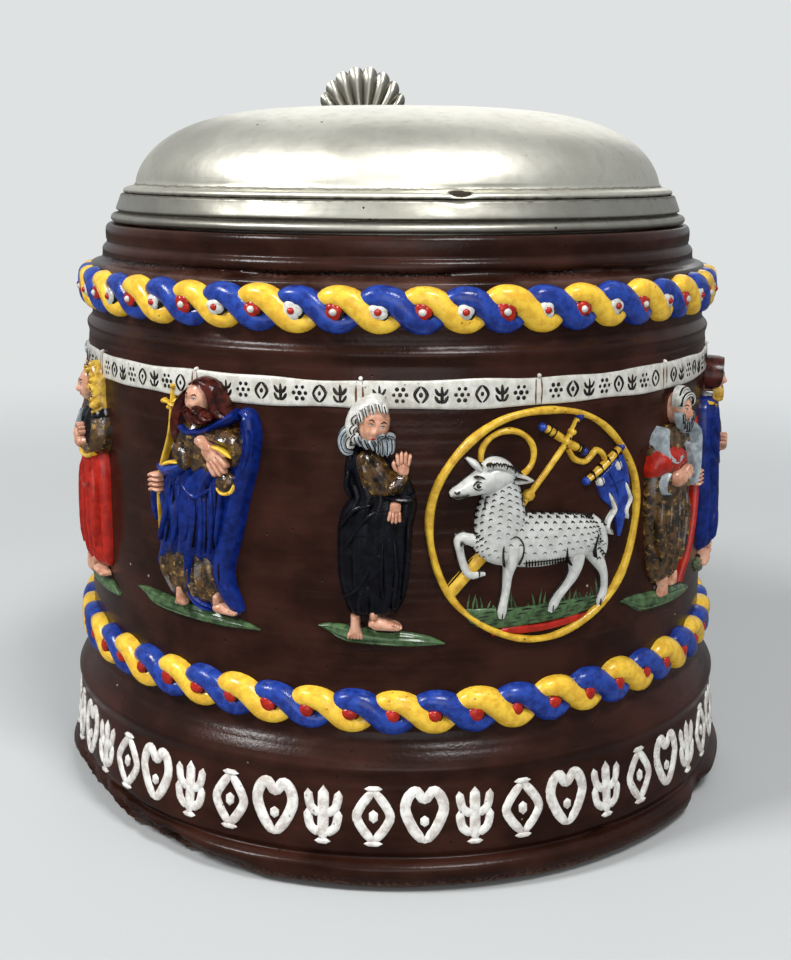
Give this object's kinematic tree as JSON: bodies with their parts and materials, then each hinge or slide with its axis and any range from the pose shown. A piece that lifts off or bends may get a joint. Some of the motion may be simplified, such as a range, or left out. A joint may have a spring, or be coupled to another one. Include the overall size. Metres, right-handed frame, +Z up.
{
  "type": "beer stein",
  "caption": "Squat brown stoneware tankard with enamelled cable mouldings and relief figures, a strap handle and a hinged domed pewter lid with a scallop-shell thumbrest.",
  "frame": {"origin": "centre of the flat base, on the turning axis", "axes": "+Z up along the turning axis, -Y the front with the lamb medallion just right of centre, +Y the handle and the lid's hinge, +X to the right when seen from the front"},
  "size_m": [0.156, 0.1935, 0.1638],
  "materials": {
    "brown_stoneware": "glossy salt-glazed dark chocolate-brown stoneware",
    "blue_enamel": "glossy cobalt-blue enamel",
    "yellow_enamel": "glossy warm yellow enamel",
    "red_enamel": "glossy brick-red enamel",
    "white_enamel": "glossy off-white enamel",
    "black_enamel": "glossy black enamel",
    "brown_enamel": "glossy gold-brown enamel",
    "green_enamel": "glossy leaf-green enamel",
    "pewter": null,
    "pewter_dark": "darkened iron pin"
  },
  "bodies": {
    "vessel": {"vessel_body": "brown_stoneware", "handle": "brown_stoneware", "lower_cable_blue": "blue_enamel", "lower_cable_yellow": "yellow_enamel", "lower_cable_pellets": "red_enamel", "upper_cable_blue": "blue_enamel", "upper_cable_yellow": "yellow_enamel", "upper_cable_pellets": "white_enamel", "relief_figure_01": "red_enamel", "relief_figure_02": "blue_enamel", "relief_figure_03": "black_enamel", "relief_figure_04": "brown_enamel", "relief_figure_05": "blue_enamel", "relief_figure_06": "red_enamel", "relief_figure_07": "green_enamel", "relief_figure_08": "black_enamel", "relief_figure_09": "blue_enamel", "relief_figure_10": "brown_enamel", "relief_figure_11": "red_enamel", "relief_figure_12": "green_enamel", "medallion_ring": "yellow_enamel", "medallion_lamb": "white_enamel", "hinge_pin": "pewter_dark", "hinge_bracket": "pewter", "handle_strap": "pewter"},
    "lid": {"lid_dome": "pewter", "lid_skirt": "pewter", "lid_locating_flange": "pewter", "lid_hinge_arm": "pewter", "thumbrest": "pewter"}
  },
  "joints": [
    {"name": "lid_hinge", "type": "hinge", "parent": "vessel", "child": "lid", "pos_m": [0, 0.0842, 0.126], "axis": [-1, 0, 0], "range_deg": [0, 105]}
  ]
}
